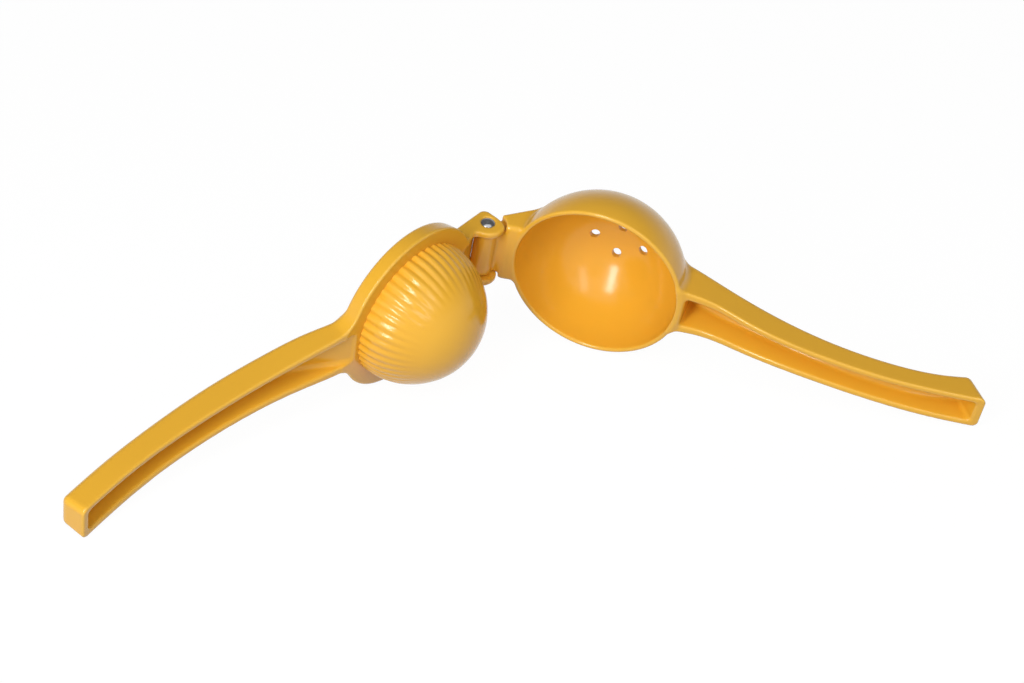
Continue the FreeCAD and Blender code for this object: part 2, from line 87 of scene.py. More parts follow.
def round_join(first: Array, second: Array, radius: float) -> Array:
    """The space inside either shape, with a hollow rounding where they meet.

    Args:
        first: distance to one shape, negative inside.
        second: distance to the other shape.
        radius: the hollow rounding's radius.

    Returns:
        The distance to the joined shape.
    """
    return -round_cut(-first, -second, radius)


def round_take(shape: Array, tool: Array, radius: float) -> Array:
    """The shape with the tool's space taken away and the new edge rounded."""
    return round_cut(shape, -tool, radius)


@dataclass(frozen=True)
class Track:
    """A smooth curve through stations, with straight ends beyond them."""

    stations: tuple[float, ...]
    values: tuple[float, ...]

    def _bends(self) -> Array:
        """Second derivatives at the stations of the curve with free ends."""
        x = np.array(self.stations)
        y = np.array(self.values)
        step = np.diff(x)
        slope = np.diff(y) / step
        count = len(x)
        system = np.eye(count)
        right = np.zeros(count)
        for i in range(1, count - 1):
            system[i, i - 1] = step[i - 1]
            system[i, i] = 2 * (step[i - 1] + step[i])
            system[i, i + 1] = step[i]
            right[i] = 6 * (slope[i] - slope[i - 1])
        return np.linalg.solve(system, right)

    def at(self, x: Array) -> tuple[Array, Array]:
        """The curve at some places along the handle.

        Args:
            x: places along the handle.

        Returns:
            The curve's height and its slope there.
        """
        knots = np.array(self.stations)
        y = np.array(self.values)
        bends = self._bends()
        inside = np.clip(x, knots[0], knots[-1])
        i = np.clip(np.searchsorted(knots, inside) - 1, 0, len(knots) - 2)
        step = knots[i + 1] - knots[i]
        a = (knots[i + 1] - inside) / step
        b = 1 - a
        bulge = (a**3 - a) * bends[i] + (b**3 - b) * bends[i + 1]
        height = a * y[i] + b * y[i + 1] + bulge * step**2 / 6
        swing = (1 - 3 * a**2) * bends[i] + (3 * b**2 - 1) * bends[i + 1]
        slope = (y[i + 1] - y[i]) / step + swing * step / 6
        return height + slope * (x - inside), slope


def fine_mesh(distance: Callable[[Array], Array], low: Sequence[float], high: Sequence[float],
              step: float) -> tuple[Array, Array]:
    """A closed mesh of four-sided faces where a distance field is zero.

    Args:
        distance: the field, which takes an (n, 3) array of places.
        low: the lowest corner of the space to look in.
        high: the highest corner.
        step: the mesh's pitch.

    Returns:
        The vertices and the faces, turned outwards.
    """
    axes = [np.arange(lo, hi + step, step) for lo, hi in zip(low, high)]
    shape = tuple(len(axis) for axis in axes)
    field_values = np.empty(shape, np.float32)
    for i, x in enumerate(axes[0]):
        y, z = np.meshgrid(axes[1], axes[2], indexing="ij")
        places = np.stack([np.full(y.size, x), y.ravel(), z.ravel()], 1)
        field_values[i] = distance(places).reshape(y.shape)
    inside = field_values < 0
    cells = tuple(size - 1 for size in shape)
    corners = [(i, j, k) for i in (0, 1) for j in (0, 1) for k in (0, 1)]
    count = np.zeros(cells, np.int8)
    for i, j, k in corners:
        count += inside[i:i + cells[0], j:j + cells[1], k:k + cells[2]]
    mixed = np.argwhere((count > 0) & (count < 8))
    index = np.full(cells, -1, np.int64)
    index[tuple(mixed.T)] = np.arange(len(mixed))
    origin = np.array([axis[0] for axis in axes])
    total = np.zeros((len(mixed), 3))
    hits = np.zeros(len(mixed))
    for a in corners:
        for b in corners:
            if sum(b) - sum(a) != 1 or any(q < p for p, q in zip(a, b)):
                continue
            value_a = field_values[tuple((mixed + a).T)]
            value_b = field_values[tuple((mixed + b).T)]
            crossed = (value_a < 0) != (value_b < 0)
            share = value_a / np.where(crossed, value_a - value_b, 1)
            spot = np.array(a) + share[:, None] * (np.array(b) - np.array(a))
            total[crossed] += spot[crossed]
            hits += crossed
    vertices = origin + (mixed + total / hits[:, None]) * step
    faces = []
    for axis in range(3):
        one, two = (axis + 1) % 3, (axis + 2) % 3
        near = np.moveaxis(inside, axis, 0)[:-1]
        far = np.moveaxis(inside, axis, 0)[1:]
        changed = np.argwhere(np.moveaxis(near != far, 0, axis))
        changed = changed[(changed[:, one] > 0) & (changed[:, two] > 0)]
        changed = changed[(changed[:, one] < cells[one]) & (changed[:, two] < cells[two])]
        ring = []
        for back_one, back_two in ((1, 1), (0, 1), (0, 0), (1, 0)):
            cell = changed.copy()
            cell[:, one] -= back_one
            cell[:, two] -= back_two
            ring.append(index[tuple(cell.T)])
        quads = np.stack(ring, 1)
        starts_inside = inside[tuple(changed.T)]
        quads[~starts_inside] = quads[~starts_inside][:, ::-1]
        faces.append(quads)
    return vertices, np.concatenate(faces)


def slopes(distance: Callable[[Array], Array], places: Array, reach: float) -> Array:
    """The field's gradient by differences over a small reach."""
    out = np.empty_like(places)
    for axis in range(3):
        offset = np.zeros(3)
        offset[axis] = reach
        out[:, axis] = (distance(places + offset) - distance(places - offset)) / (2 * reach)
    return out


def seat(distance: Callable[[Array], Array], places: Array, limit: float) -> Array:
    """Moves places straight onto the surface where the field is zero."""
    for _ in range(2):
        value = distance(places)
        gradient = slopes(distance, places, SLOPE_REACH)
        size = np.maximum((gradient**2).sum(1), 0.05)
        move = -(value / size)[:, None] * gradient
        length = np.linalg.norm(move, axis=1)
        places = places + move * np.minimum(1, limit / np.maximum(length, 1e-9))[:, None]
    return places


def evened(places: Array, faces: Array) -> Array:
    """Places moved half-way to the middle of their neighbours, for an even mesh."""
    total = np.zeros_like(places)
    count = np.zeros(len(places))
    for a, b in ((0, 1), (1, 2), (2, 3), (3, 0)):
        for start, end in ((faces[:, a], faces[:, b]), (faces[:, b], faces[:, a])):
            np.add.at(total, start, places[end])
            np.add.at(count, start, 1)
    return places * 0.5 + total / np.maximum(count, 1)[:, None] * 0.5


@dataclass(frozen=True)
class Stance:
    """How the closed squeezer's own axes lie in the frame.

    X runs along the handle, Y into the cup and Z up the pin.
    """

    hinge: Vector
    axis: Vector
    opening: float

    @classmethod
    def from_joint(cls, joint: dict) -> "Stance":
        """Reads the hinge from the record's joint."""
        opening = math.radians(joint["range_deg"][1])
        return cls(Vector(joint["pos_m"]), Vector(joint["axis"]), opening)

    def cup(self) -> Matrix:
        """From the cup arm's own millimetres to the frame."""
        tilt = math.atan2(-self.axis.y, self.axis.z)
        forward = Vector((math.cos(self.opening / 2), -math.sin(self.opening / 2), 0))
        pin = Vector((0, 0, 1))
        up = pin * math.cos(tilt) - forward * math.sin(tilt)
        back = -(forward * math.cos(tilt) + pin * math.sin(tilt))
        turn = Matrix((back.cross(up), back, up)).to_4x4()
        return Matrix.Translation(self.hinge) @ turn @ Matrix.Scale(MM, 4)

    def press(self) -> Matrix:
        """From the press arm's own millimetres, as when closed, to the frame."""
        return self.cup() @ Matrix.Rotation(-self.opening, 4, "Z")


@dataclass(frozen=True)
class Sizes:
    """The sizes that both arms share, in millimetres."""

    pin_radius: float = 2.95
    bore_clearance: float = 0.05
    half_height: float = 14.8
    ear_thickness: float = 3.0
    ear_radius: float = 7.2
    knuckle_half: float = 11.5
    knuckle_radius: float = 4.6
    relief_radius: float = 7.7
    centre_x: float = 47.5
    rim_radius: float = 36.5
    inner_radius: float = 34.5
    mouth_y: float = 2.65
    lug_face_y: float = 1.2
    slope_start: float = 9.2
    slope_end: float = 14.8
    gap: float = 0.7
    dome_radius: float = 29.2
    dome_lift: float = 2.15
    stations: tuple[float, ...] = (76.0, 82.0, 96.0, 110.0, 140.0, 170.0, 190.0, 219.0)
    halves: tuple[float, ...] = (12.4, 11.5, 10.0, 8.75, 7.5, 7.45, 7.8, 7.95)
    walls: tuple[float, ...] = (4.2, 3.9, 3.2, 2.9, 2.7, 2.7, 2.7, 2.7)
    floor: float = 3.0
    end_wall: float = 3.2
    draft: float = math.tan(math.radians(5.0))

    @property
    def face_y(self) -> float:
        """Where the press arm's flange faces the mouth."""
        return self.mouth_y - self.gap


@dataclass
class Handle:
    """A curved trough-shaped handle, as distance fields of its outside and of its channel."""

    sizes: Sizes
    open_edge: tuple[float, ...]
    back_edge: tuple[float, ...]
    floor_edge: tuple[float, ...]
    end_front: tuple[float, float]
    end_back: tuple[float, float]
    channel_start: float
    side: float = 1.0
    back_round: float = 2.5
    open_edge_round: float = 0.8
    floor_round: float = 2.0
    channel_end_round: float = 1.8
    channel_start_round: float = 1.5

    def _measures(self, p: Array) -> tuple[Array, ...]:
        """Distances to the handle's own faces, with Y turned so that the back is at greater Y."""
        x, y, z = p[:, 0], p[:, 1] * self.side, np.abs(p[:, 2])
        stations = self.sizes.stations
        front, front_slope = Track(stations, self.open_edge).at(x)
        back, back_slope = Track(stations, self.back_edge).at(x)
        floor, _ = Track(stations, self.floor_edge).at(x)
        half, half_slope = Track(stations, self.sizes.halves).at(x)
        wall, _ = Track(stations, self.sizes.walls).at(x)
        along = np.array(self.end_back) - np.array(self.end_front)
        along /= np.linalg.norm(along)
        end = (x - self.end_front[0]) * along[1] - (y - self.end_front[1]) * along[0]
        lean = half - self.sizes.draft * (y - front)
        even = 1 / np.sqrt(1 + half_slope**2 + self.sizes.draft**2)
        open_face = (front - y) / np.sqrt(1 + front_slope**2)
        back_face = (y - back) / np.sqrt(1 + back_slope**2)
        floor_face = (y - floor) / np.sqrt(1 + back_slope**2)
        return open_face, back_face, (z - lean) * even, (z - lean + wall) * even, floor_face, end, x

    def outside(self, p: Array) -> Array:
        """Distance to the handle's solid outline."""
        front, back, side, _, _, end, _ = self._measures(p)
        body = round_cut(round_cut(back, side, self.back_round), end, self.back_round)
        body = round_cut(body, front, self.open_edge_round)
        return np.maximum(body, self.sizes.stations[0] - p[:, 0])

    def channel(self, p: Array) -> Array:
        """Distance to the open channel in it."""
        _, _, _, side, floor, end, x = self._measures(p)
        trough = round_cut(side, floor, self.floor_round)
        trough = round_cut(trough, end + self.sizes.end_wall, self.channel_end_round)
        return round_cut(trough, self.channel_start - x, self.channel_start_round)


@dataclass
class Casting:
    """One enamelled casting, worked out as a distance field and meshed finely."""

    sizes: Sizes
    place: Matrix
    step: float = 0.63
    edge_probe: float = 0.7
    hollow_probe: float = 5.0

    def distance(self, p: Array) -> Array:
        """Distance to the casting, negative inside."""
        raise NotImplementedError

    def limits(self) -> tuple[tuple[float, ...], tuple[float, ...]]:
        """The corners of the space that holds the casting."""
        raise NotImplementedError

    def relief_post(self, p: Array) -> Array:
        """The round space that an ear turns in."""
        return np.hypot(p[:, 0], p[:, 1]) - self.sizes.relief_radius

    def mesh(self, name: str) -> bpy.types.Mesh:
        """The casting's mesh in its own millimetres."""
        low, high = self.limits()
        places, faces = fine_mesh(self.distance, low, high, self.step)
        places = seat(self.distance, places, self.step)
        for _ in range(3):
            places = seat(self.distance, evened(places, faces), self.step / 2)
        return mesh_from(name, places, faces)

    def dress(self, piece: bpy.types.Object) -> None:
        """Writes, as values on the mesh, where edges get a painted highlight and hollows get
        painted shade.

        Args:
            piece: the casting's object, with its mesh in its own millimetres.
        """
        places = np.empty(len(piece.data.vertices) * 3, np.float32)
        piece.data.vertices.foreach_get("co", places)
        places = places.reshape(-1, 3).astype(float)
        gradient = slopes(self.distance, places, 0.4)
        normal = gradient / np.maximum(np.linalg.norm(gradient, axis=1), 1e-6)[:, None]
        # Painted highlight: convex edges, found from how the field bends, are marked to be painted
        # lighter.
        around = np.zeros(len(places))
        for axis in range(3):
            offset = np.zeros(3)
            offset[axis] = self.edge_probe
            around += self.distance(places + offset) + self.distance(places - offset)
        edge = np.clip((around / self.edge_probe**2 / 2 - 0.12) * 1.3, 0, 1)
        # Painted shade: places closed in by nearby walls are marked to be painted darker.
        room = self.distance(places + normal * self.hollow_probe) / self.hollow_probe
        write_values(piece.data, edge, 1 - np.clip(room, 0, 1))


def write_values(mesh: bpy.types.Mesh, edge: Array, hollow: Array) -> None:
    """Writes on a mesh how much each place is an edge and how much a hollow.

    Args:
        mesh: the mesh.
        edge: 0 to 1 for each vertex.
        hollow: 0 to 1 for each vertex.
    """
    for label, values in (("edge", edge), ("hollow", hollow)):
        layer = mesh.attributes.new(label, "FLOAT", "POINT")
        layer.data.foreach_set("value", values.astype(np.float32))


def mesh_from(name: str, places: Array, faces: Array) -> bpy.types.Mesh:
    """A smooth mesh from arrays of places and faces."""
    mesh = bpy.data.meshes.new(name)
    mesh.from_pydata(places.tolist(), [], faces.tolist())
    mesh.polygons.foreach_set("use_smooth", np.ones(len(mesh.polygons), bool))
    mesh.update()
    return mesh


def linked(name: str, mesh: bpy.types.Mesh) -> bpy.types.Object:
    """A new object in the scene for a mesh."""
    piece = bpy.data.objects.new(name, mesh)
    bpy.context.scene.collection.objects.link(piece)
    return piece


@dataclass
class CupArm(Casting):
    """The bowl with its lug, knuckle and handle."""

    straight: float = 2.8
    hole_radius: float = 1.95
    drill_reach: float = 60.0
    hole_ring: float = 12.4
    holes_around: int = 6
    lug_back: tuple[tuple[float, float], tuple[float, float]] = ((3.6, 7.0), (20.5, 22.8))
    lug_near: float = 1.5
    lug_far: float = 30.0
    neck_far: float = 12.0
    lip_round: float = 0.9
    lug_edge_round: float = 0.9
    lug_face_round: float = 2.0
    lug_root_round: float = 1.6
    handle_root_round: float = 2.6
    channel_edge_round: float = 0.9
    knuckle_root_round: float = 1.2
    knuckle_edge_round: float = 0.5
    bore_round: float = 0.3

    def limits(self) -> tuple[tuple[float, ...], tuple[float, ...]]:
        """The corners of the space that holds the cup arm."""
        return (-7.0, -7.0, -38.0), (214.0, 44.0, 38.0)

    def handle(self) -> Handle:
        """The handle, open towards the press arm."""
        back = (23.3, 22.6, 19.5, 16.6, 12.25, 12.2, 15.7, 29.9)
        floor = tuple(depth - self.sizes.floor for depth in back)
        return Handle(self.sizes, (2.2, 3.4, 4.7, 2.6, 0.15, 1.1, 3.7, 10.1), back, floor,
                      (210.25, 7.9), (201.25, 19.5), 85.0)

    def _ball(self, p: Array, radius: float) -> Array:
        """Distance to the bowl's round form of some radius, open-ended towards the mouth."""
        s = self.sizes
        across = np.hypot(p[:, 0] - s.centre_x, p[:, 2])
        depth = np.maximum(p[:, 1] - s.mouth_y - self.straight, 0)
        return np.hypot(across, depth) - radius

    def _lug_sides(self, p: Array) -> tuple[Array, Array]:
        """Distances to the lug's front and its slanting back."""
        s = self.sizes
        slope = (s.mouth_y - s.lug_face_y) / (s.slope_end - s.slope_start)
        rise = np.clip(p[:, 0] - s.slope_start, 0, s.slope_end - s.slope_start) * slope
        (x0, y0), (x1, y1) = self.lug_back
        run = math.hypot(x1 - x0, y1 - y0)
        back = ((p[:, 1] - y0) * (x1 - x0) - (p[:, 0] - x0) * (y1 - y0)) / run
        return s.lug_face_y + rise - p[:, 1], back

    def distance(self, p: Array) -> Array:
        """Distance to the cup arm without its juice holes, negative inside."""
        s = self.sizes
        height = np.abs(p[:, 2])
        pin = np.hypot(p[:, 0], p[:, 1])
        bowl = round_cut(self._ball(p, s.rim_radius), s.mouth_y - p[:, 1], self.lip_round)
        front, back = self._lug_sides(p)
        lug = np.maximum(back, self.lug_near - p[:, 0])
        lug = round_cut(lug, height - s.half_height, self.lug_edge_round)
        lug = np.maximum(round_cut(lug, front, self.lug_face_round), p[:, 0] - self.lug_far)
        relief = round_cut(self.relief_post(p), s.knuckle_half - height, 0.4)
        lug = round_take(lug, relief, 0.5)
        arm = round_join(bowl, lug, self.lug_root_round)
        handle = self.handle()
        arm = round_join(arm, handle.outside(p), self.handle_root_round)
        arm = round_take(arm, self._ball(p, s.inner_radius), self.lip_round)
        arm = round_take(arm, handle.channel(p), self.channel_edge_round)
        neck = np.maximum(np.maximum(front, back), p[:, 0] - self.neck_far)
        neck = round_cut(neck, -p[:, 0], self.knuckle_edge_round)
        knuckle = round_join(pin - s.knuckle_radius, neck, self.knuckle_root_round)
        knuckle = round_cut(knuckle, height - s.knuckle_half, self.knuckle_edge_round)
        arm = np.minimum(arm, knuckle)
        return round_take(arm, pin - s.pin_radius - s.bore_clearance, self.bore_round)

    def build(self, finish: "Enamel") -> bpy.types.Object:
        """Makes the cup arm, pierces it and dresses it.

        Args:
            finish: the enamel that covers it.

        Returns:
            The finished piece.
        """
        piece = linked("pierced_bowl_arm", self.mesh("pierced_bowl_arm"))
        piece.data.materials.append(finish.material())
        tree = piercing_tree(finish.material())
        settle(piece, tree, {
            "Hole radius": self.hole_radius, "Ring radius": self.hole_ring,
            "Holes around": self.holes_around, "Centre": (self.sizes.centre_x, 0, 0),
            "Reach": self.drill_reach})
        self.dress(piece)
        piece.data.transform(self.place)
        piece.data.update()
        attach(piece, Body.CUP.value)
        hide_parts("cup_arm")
        return piece


@dataclass
class PressArm(Casting):
    """The flange with its dome, fork and handle."""

    flange_depth: float = 7.0
    flange_taper: float = 1.2
    ear_tip: float = 5.1
    ear_back: float = 6.4
    throat_reach: float = 16.5
    throat_corner: float = 4.5
    throat_wall: float = 3.0
    throat_wall_end: float = 0.9
    throat_clearance: float = 0.15
    wall: float = 3.0
    skin: float = 1.2
    face_round: float = 0.8
    flange_back_round: float = 1.5
    handle_root_round: float = 4.5
    fork_root_round: float = 1.5
    fork_far: float = 24.0
    ear_tip_round: float = 3.0
    ear_edge_round: float = 0.9
    ear_corner_round: float = 2.0
    pocket_floor_round: float = 1.2
    pocket_edge_round: float = 0.8
    throat_edge_round: float = 0.3
    channel_edge_round: float = 0.9
    hollow_edge_round: float = 1.0

    def limits(self) -> tuple[tuple[float, ...], tuple[float, ...]]:
        """The corners of the space that holds the press arm."""
        return (-7.0, -23.0, -38.0), (218.0, 34.0, 38.0)

    def handle(self) -> Handle:
        """The handle, open towards the cup arm."""
        back = (5.0, 7.0, 11.8, 15.0, 18.7, 19.0, 17.9, 14.7)
        ramp = (-2.2, -0.6, 6.5)
        floor = ramp + tuple(depth - self.sizes.floor for depth in back[len(ramp):])
        channel_start = self.sizes.centre_x + self.sizes.dome_radius + 2.6
        return Handle(self.sizes, (-2.3, -2.1, -0.1, 2.4, 6.05, 7.35, 6.65, 3.4), back, floor,
                      (215.4, 4.0), (215.9, 15.1), channel_start, -1.0)

    def _plate(self, p: Array) -> Array:
        """Distance to the flange."""
        s = self.sizes
        across = np.hypot(p[:, 0] - s.centre_x, p[:, 2])
        down = s.face_y - p[:, 1]
        side = across - s.rim_radius + self.flange_taper * down / self.flange_depth
        plate = round_cut(side, -down, self.face_round)
        return round_cut(plate, down - self.flange_depth, self.flange_back_round)

    def _dome(self, p: Array, radius: float) -> Array:
        """Distance to a ball about the dome's centre."""
        s = self.sizes
        centre = np.array([s.centre_x, s.face_y + s.dome_lift, 0])
        return np.linalg.norm(p - centre, axis=1) - radius

    def _fork(self, p: Array) -> Array:
        """Distance to the block that carries both ears."""
        s = self.sizes
        x, y, height = p[:, 0], p[:, 1], np.abs(p[:, 2])
        slope = (s.mouth_y - s.lug_face_y) / (s.slope_end - s.slope_start)
        rise = np.clip(x - s.slope_start, 0, s.slope_end - s.slope_start) * slope
        plate = y - (s.lug_face_y - s.gap + rise)
        front = round_join(np.hypot(x, y) - s.ear_radius, plate, self.ear_corner_round)
        rear = round_cut(-self.ear_tip - x, -self.ear_back - y, self.ear_tip_round)
        block = np.maximum(round_cut(rear, front, self.ear_tip_round), x - self.fork_far)
        return round_cut(block, height - s.half_height, self.ear_edge_round)

    def _throat(self, p: Array) -> tuple[Array, Array]:
        """Distances to the space the knuckle turns in and to the pocket in front of it."""
        s = self.sizes
        x, y, height = p[:, 0], p[:, 1], np.abs(p[:, 2])
        inner = s.half_height - s.ear_thickness
        floor = self.throat_wall - self.ear_back
        turning = np.hypot(x, y) - s.knuckle_radius - self.throat_clearance
        swept = np.maximum(np.minimum(x - self.throat_wall_end, turning), height - inner)
        pocket = round_cut(x - self.throat_reach, height - inner, self.throat_corner)
        pocket = round_cut(np.maximum(pocket, -x), floor - y, self.pocket_floor_round)
        return swept, pocket

    def distance(self, p: Array) -> Array:
        """Distance to the press arm without the dome's ribbed skin, negative inside."""
        s = self.sizes
        down = s.face_y - p[:, 1]
        handle = self.handle()
        grip = round_cut(handle.outside(p), -down, self.face_round)
        arm = np.maximum(round_join(self._plate(p), grip, self.handle_root_round), -down)
        arm = round_join(arm, self._fork(p), self.fork_root_round)
        arm = np.maximum(arm, np.minimum(-down, p[:, 0] - s.slope_start))
        arm = round_take(arm, handle.channel(p), self.channel_edge_round)
        dome = np.maximum(self._dome(p, s.dome_radius - self.skin / 2), down - 2)
        arm = np.minimum(arm, dome)
        swept, pocket = self._throat(p)
        arm = round_take(arm, pocket, self.pocket_edge_round)
        arm = round_take(arm, swept, self.throat_edge_round)
        inside_radius = s.dome_radius - self.wall
        tube = np.hypot(p[:, 0] - s.centre_x, p[:, 2]) - s.dome_radius + self.wall
        above_centre = p[:, 1] > s.face_y + s.dome_lift
        hollow = np.where(above_centre, self._dome(p, inside_radius), tube)
        arm = round_take(arm, hollow, self.hollow_edge_round)
        bore = np.hypot(p[:, 0], p[:, 1]) - s.pin_radius
        return round_take(arm, bore, self.throat_edge_round)

    def build(self, finish: "Enamel") -> bpy.types.Object:
        """Makes the press arm's casting and dresses it.

        Args:
            finish: the enamel that covers it.

        Returns:
            The finished piece.
        """
        piece = linked("press_arm_casting", self.mesh("press_arm_casting"))
        piece.data.materials.append(finish.material())
        self.dress(piece)
        piece.data.transform(self.place)
        piece.data.update()
        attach(piece, Body.PRESS.value)
        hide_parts("press_arm")
        return piece


@dataclass
class RibbedDome:
    """The dome's ribbed skin, seated on the casting."""

    sizes: Sizes
    place: Matrix
    ribs: int = 48
    samples: int = 12
    rows: int = 64
    rib_height: float = 0.72
    reach: float = 47.0
    skin: float = 1.6
    sunk: float = 0.8

    def build(self, finish: "Enamel") -> bpy.types.Object:
        """Makes the ribbed skin with its own tree of nodes.

        Args:
            finish: the enamel that covers it.

        Returns:
            The finished piece.
        """
        s = self.sizes
        base = -math.asin((s.dome_lift + self.sunk) / s.dome_radius)
        seed = linked("ribbed_dome", bpy.data.meshes.new("ribbed_dome"))
        settle(seed, ribbing_tree(finish.material()), {
            "Radius": s.dome_radius, "Ribs": self.ribs, "Columns": self.ribs * self.samples + 1,
            "Rows": 2 * self.rows + 1, "Rib height": self.rib_height, "Skin": self.skin,
            "Base angle": base, "Reach": math.radians(self.reach)})
        mesh = seed.data
        mesh.transform(Matrix.Translation((s.centre_x, s.face_y + s.dome_lift, 0)))
        self.dress(seed)
        mesh.transform(self.place)
        mesh.update()
        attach(seed, Body.PRESS.value)
        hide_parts("press_arm")
        return seed

    def dress(self, piece: bpy.types.Object) -> None:
        """Writes the painted highlight on the ribs' crests and the painted shade in their grooves
        and along the dome's base.
        """
        s = self.sizes
        count = len(piece.data.vertices)
        places = np.empty(count * 3, np.float32)
        piece.data.vertices.foreach_get("co", places)
        offset = places.reshape(-1, 3) - np.array([s.centre_x, s.face_y + s.dome_lift, 0])
        proud = (np.linalg.norm(offset, axis=1) - s.dome_radius) / self.rib_height
        climb = np.degrees(np.arcsin(np.clip(offset[:, 1] / s.dome_radius, -1, 1)))
        fade = np.clip(1 - climb / self.reach, 0, 1)
        # Painted shade, deepest near the dome's base where it meets the flange.
        low = np.clip(1 - offset[:, 1] / 5.0 - 0.2, 0, 1)
        # Painted shade in the grooves between ribs, fading with them, added to the shade at the
        # base.
        hollow = np.clip((1 - proud) * 0.5 * np.sqrt(fade) + 0.35 * low, 0, 1)
        # Painted highlight on the rib crests, fading with the ribs.
        write_values(piece.data, np.clip(proud * fade * 0.5, 0, 1), hollow)


@dataclass
class HingePin:
    """The polished pin, turned with low crowned ends."""

    sizes: Sizes
    place: Matrix
    half: float = 14.7
    crown: float = 0.8
    edge: float = 0.35
    slack: float = 0.02
    edge_steps: int = 6
    edge_turn: float = 12.0
    crown_shares: tuple[float, ...] = (0.93, 0.86, 0.78, 0.68, 0.58, 0.46, 0.34, 0.22, 0.11)
    around: int = 96

    def _outline(self) -> list[tuple[float, float]]:
        """The pin's half outline from its lower to its upper end, as radius and height."""
        radius = self.sizes.pin_radius - self.slack
        low = self.half - self.edge
        top = []
        for step in range(self.edge_steps):
            turn = math.radians(self.edge_turn * step)
            inward = self.edge * (1 - math.cos(turn))
            top.append((radius - inward, low + self.edge * math.sin(turn)))
        reach, start = top[-1]
        rise = self.half + self.crown - start
        for share in self.crown_shares:
            top.append((reach * share, start + rise * (1 - share**2)))
        return [(r, -h) for r, h in reversed(top)] + [(radius, -5.0), (radius, 5.0)] + top

    def build(self, finish: "PolishedSteel") -> bpy.types.Object:
        """Turns the pin.

        Args:
            finish: the steel that it shows.

        Returns:
            The finished piece.
        """
        outline = self._outline()
        places = []
        for radius, height in outline:
            for step in range(self.around):
                angle = 2 * math.pi * step / self.around
                places.append((radius * math.cos(angle), radius * math.sin(angle), height))
        tip = self.half + self.crown
        places += [(0, 0, -tip), (0, 0, tip)]
        faces = []
        for row in range(len(outline) - 1):
            lower, upper = row * self.around, (row + 1) * self.around
            for step in range(self.around):
                following = (step + 1) % self.around
                faces.append((lower + step, lower + following, upper + following, upper + step))
        last = (len(outline) - 1) * self.around
        for step in range(self.around):
            following = (step + 1) % self.around
            faces.append((following, step, len(places) - 2))
            faces.append((last + step, last + following, len(places) - 1))
        mesh = bpy.data.meshes.new("crowned_hinge_pin")
        mesh.from_pydata(places, [], faces)
        mesh.polygons.foreach_set("use_smooth", [True] * len(faces))
        mesh.transform(self.place)
        mesh.update()
        mesh.materials.append(finish.material())
        piece = linked("crowned_hinge_pin", mesh)
        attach(piece, Body.PRESS.value)
        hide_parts("hinge_pin")
        return piece


# Nodes that make what repeats and what it looks like

class NodeMaker:
    """A small helper to write a tree of nodes."""

    def __init__(self, tree: bpy.types.NodeTree) -> None:
        """Writes into a tree."""
        self.tree = tree

    def node(self, kind: str, links: dict, **settings) -> bpy.types.Node:
        """Adds a node with its settings and connects or sets its inputs.

        Args:
            kind: the node's type.
            links: input name or number to a socket, or to a plain value.
            **settings: the node's own settings.

        Returns:
            The new node.
        """
        made = self.tree.nodes.new(kind)
        for key, value in settings.items():
            setattr(made, key, value)
        for key, value in links.items():
            if isinstance(value, bpy.types.NodeSocket):
                self.tree.links.new(value, made.inputs[key])
            else:
                made.inputs[key].default_value = value
        return made

    def sum(self, operation: str, *values) -> bpy.types.NodeSocket:
        """A piece of arithmetic on sockets and numbers."""
        return self.node("ShaderNodeMath", dict(enumerate(values)), operation=operation).outputs[0]

    def spread(self, value: bpy.types.NodeSocket, low: float, high: float, to_low: float,
               to_high: float) -> bpy.types.NodeSocket:
        """A value stretched from one range to another, and held inside it."""
        made = self.node("ShaderNodeMapRange", {
            "Value": value, "From Min": low, "From Max": high,
            "To Min": to_low, "To Max": to_high})
        return made.outputs[0]

    def plainly_seen(self) -> bpy.types.NodeSocket:
        """One where the camera sees a surface straight, in a reflection or through glass."""
        path = self.node("ShaderNodeLightPath", {})
        seen = self.sum("ADD", path.outputs["Is Camera Ray"], path.outputs["Is Glossy Ray"])
        seen = self.sum("ADD", seen, path.outputs["Is Transmission Ray"])
        return self.sum("MINIMUM", seen, 1.0)


class TreeMaker(NodeMaker):
    """Writes a tree of geometry nodes."""

    def __init__(self, name: str) -> None:
        """Starts an empty tree with a geometry input and output."""
        super().__init__(bpy.data.node_groups.new(name, "GeometryNodeTree"))
        for way in ("INPUT", "OUTPUT"):
            self.tree.interface.new_socket("Geometry", in_out=way, socket_type="NodeSocketGeometry")
        self.start = self.tree.nodes.new("NodeGroupInput")
        self.end = self.tree.nodes.new("NodeGroupOutput")

    def size(self, label: str, kind: str = "NodeSocketFloat") -> bpy.types.NodeSocket:
        """Adds a named input and returns its socket inside the tree."""
        self.tree.interface.new_socket(label, in_out="INPUT", socket_type=kind)
        return self.start.outputs[label]

    def finish(self, geometry: bpy.types.NodeSocket,
               material: bpy.types.Material) -> bpy.types.NodeTree:
        """Ends the tree with real geometry and its material.

        Args:
            geometry: what the tree has made.
            material: the material it gets.

        Returns:
            The finished tree.
        """
        real = self.node("GeometryNodeRealizeInstances", {0: geometry})
        dressed = self.node("GeometryNodeSetMaterial", {"Geometry": real.outputs[0]})
        dressed.inputs["Material"].default_value = material
        self.tree.links.new(dressed.outputs[0], self.end.inputs[0])
        return self.tree


